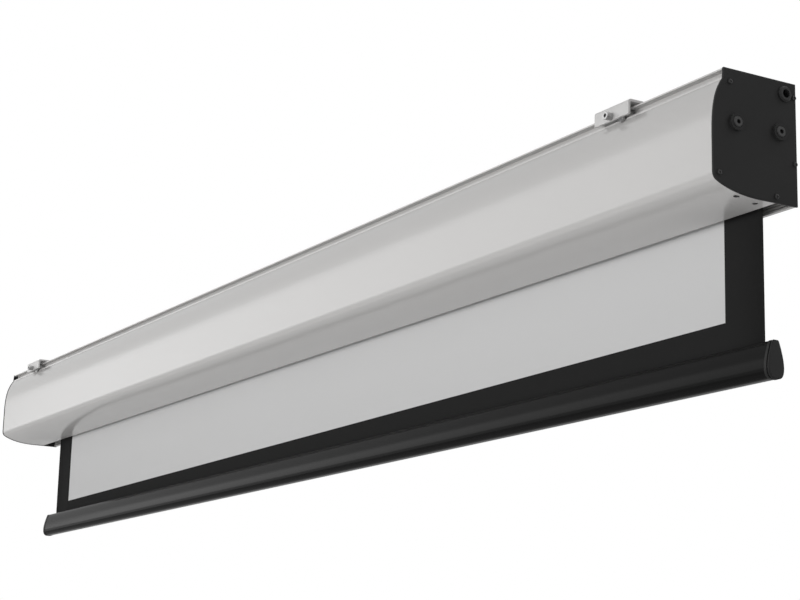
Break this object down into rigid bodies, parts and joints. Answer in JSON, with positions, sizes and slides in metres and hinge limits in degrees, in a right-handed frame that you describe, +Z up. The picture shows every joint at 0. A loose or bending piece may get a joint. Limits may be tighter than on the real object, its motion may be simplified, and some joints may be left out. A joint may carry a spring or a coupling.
{
  "type": "motorized projector screen",
  "caption": "Motorized projection screen with a long case, a tubular motor in the roller, white cloth with black borders, a weight bar and sliding brackets.",
  "frame": {"origin": "on the wall, level with the top of the brackets, at the middle of the case's length", "axes": "+X along the case towards the motor end, +Y into the wall, +Z up"},
  "size_m": [2.3394, 0.1268, 0.3479],
  "materials": {
    "shell_paint": "satin powder coat",
    "cap_plastic": "fine matt texture",
    "black_steel": "blackened",
    "rubber": "matt",
    "bracket_paint": "satin powder coat",
    "zinc_steel": "zinc plated",
    "aluminium": "mill finish",
    "motor_steel": "plated",
    "motor_plastic": "moulded",
    "red_plastic": "moulded",
    "white_cloth": "matt projection coating",
    "black_cloth": "matt black masking",
    "bar_paint": "satin black powder coat",
    "bar_plastic": "moulded"
  },
  "bodies": {
    "case": {"front_cover": "shell_paint", "back_rail": "shell_paint", "end_cap_motor": "cap_plastic", "end_cap_idler": "cap_plastic", "cap_screw_right_nose": "black_steel", "cap_screw_right_front": "black_steel", "cap_screw_right_lip": "black_steel", "cap_screw_right_back_low": "black_steel", "cap_screw_right_back_high": "black_steel", "cap_screw_left_nose": "black_steel", "cap_screw_left_front": "black_steel", "cap_screw_left_lip": "black_steel", "cap_screw_left_back_low": "black_steel", "cap_screw_left_back_high": "black_steel", "plate_bolt_right_front": "black_steel", "plate_bolt_right_rear": "black_steel", "plate_bolt_left_front": "black_steel", "plate_bolt_left_rear": "black_steel", "cable_grommet": "rubber", "motor_plate": "zinc_steel", "motor_head": "motor_plastic", "motor_tube": "motor_steel", "idler_plate": "zinc_steel", "idler_pin": "zinc_steel"},
    "roller": {"roller_tube": "aluminium", "wound_cloth": "white_cloth", "limit_crown": "motor_plastic", "drive_wheel": "motor_plastic", "output_shaft": "motor_steel", "idler_plug": "motor_plastic", "idler_bearing": "zinc_steel"},
    "bar": {"weight_bar": "bar_paint", "bar_cap_right": "bar_plastic", "bar_cap_left": "bar_plastic", "hem_rod": "zinc_steel", "screen_cloth": "white_cloth", "black_border": "black_cloth"},
    "limit_upper": {"limit_screw_upper": "red_plastic"},
    "limit_lower": {"limit_screw_lower": "red_plastic"},
    "bracket_right": {"bracket_right": "bracket_paint", "clamp_block_right": "black_steel", "clamp_bolt_right": "zinc_steel", "clamp_bush_right": "zinc_steel"},
    "bracket_left": {"bracket_left": "bracket_paint", "clamp_block_left": "black_steel", "clamp_bolt_left": "zinc_steel", "clamp_bush_left": "zinc_steel"}
  },
  "joints": [
    {"name": "roller_spin", "type": "hinge", "parent": "case", "child": "roller", "pos_m": [0, -0.0609, -0.0695], "axis": [-1, 0, 0], "range_deg": [-242, 1942]},
    {"name": "bar_slide", "type": "slide", "parent": "case", "child": "bar", "axis": [0, 0, -1], "range_m": [-0.1498, 1.202], "deforming": ["screen_cloth", "black_border"]},
    {"name": "bracket_right_slide", "type": "slide", "parent": "case", "child": "bracket_right", "axis": [1, 0, 0], "range_m": [-0.93, 0.15]},
    {"name": "bracket_left_slide", "type": "slide", "parent": "case", "child": "bracket_left", "axis": [1, 0, 0], "range_m": [-0.1, 0.98]},
    {"name": "limit_upper_turn", "type": "hinge", "parent": "case", "child": "limit_upper", "pos_m": [1.152, -0.0823, -0.0906], "axis": [0, 0, 1], "continuous": true},
    {"name": "limit_lower_turn", "type": "hinge", "parent": "case", "child": "limit_lower", "pos_m": [1.146, -0.0503, -0.0984], "axis": [0, 0, 1], "continuous": true}
  ],
  "couplings": [
    {"joint": "bar_slide", "follows": "roller_spin", "m_per_rad": 0.03545}
  ]
}
